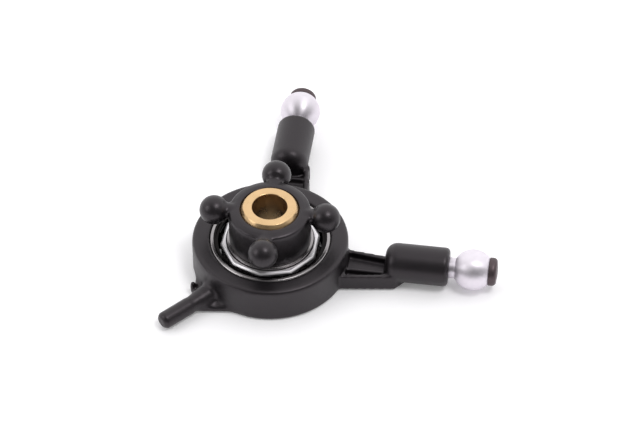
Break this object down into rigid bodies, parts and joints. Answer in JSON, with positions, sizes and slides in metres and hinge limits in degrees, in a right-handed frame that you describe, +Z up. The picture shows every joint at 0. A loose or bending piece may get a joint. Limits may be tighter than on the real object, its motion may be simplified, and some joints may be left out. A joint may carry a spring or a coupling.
{
  "type": "helicopter swashplate",
  "caption": "Model helicopter swashplate: ribbed control arms and guide pin on a fixed ring, and a hub with link balls turning in a ball bearing on a brass ball.",
  "frame": {"origin": "centre of the brass ball, on the rotor mast's axis, about which the plate tilts", "axes": "+Z up along the rotor mast, +X along the pitch arm, +Y along the roll arm"},
  "size_m": [0.0375, 0.0386, 0.0099],
  "materials": {
    "moulded_nylon": "satin moulded black nylon",
    "turned_aluminium": "fine turned, polished",
    "black_oxide_steel": "black oxide on steel, slightly brown",
    "bearing_steel": "ground bearing steel",
    "polished_steel": "bright pressed steel",
    "spring_steel": "dark spring steel",
    "turned_brass": "turned brass"
  },
  "bodies": {
    "stationary_plate": {"stationary_ring": "moulded_nylon", "bearing_outer_race": "bearing_steel", "pitch_control_ball": "turned_aluminium", "pitch_ball_screw": "black_oxide_steel", "roll_control_ball": "turned_aluminium", "roll_ball_screw": "black_oxide_steel"},
    "rotating_plate": {"rotating_hub": "moulded_nylon", "bearing_inner_race": "bearing_steel", "hub_retaining_ring": "spring_steel"},
    "cage_and_balls": {"bearing_cage": "polished_steel", "bearing_ball_01": "polished_steel", "bearing_ball_02": "polished_steel", "bearing_ball_03": "polished_steel", "bearing_ball_04": "polished_steel", "bearing_ball_05": "polished_steel", "bearing_ball_06": "polished_steel", "bearing_ball_07": "polished_steel", "bearing_ball_08": "polished_steel", "bearing_ball_09": "polished_steel", "bearing_ball_10": "polished_steel"},
    "mast_ball": {"centre_ball": "turned_brass"}
  },
  "joints": [
    {"name": "hub_spin", "type": "hinge", "parent": "stationary_plate", "child": "rotating_plate", "pos_m": [0, 0, -0.00435], "axis": [0, 0, 1], "continuous": true},
    {"name": "cage_orbit", "type": "hinge", "parent": "stationary_plate", "child": "cage_and_balls", "pos_m": [0, 0, -0.00435], "axis": [0, 0, 1], "continuous": true},
    {"name": "mast_ball_tilt", "type": "hinge", "parent": "rotating_plate", "child": "mast_ball", "pos_m": [0, 0, 0], "axis": [1, 0, 0], "range_deg": [-10, 10]}
  ],
  "couplings": [
    {"joint": "cage_orbit", "follows": "hub_spin", "ratio": 0.40909}
  ]
}
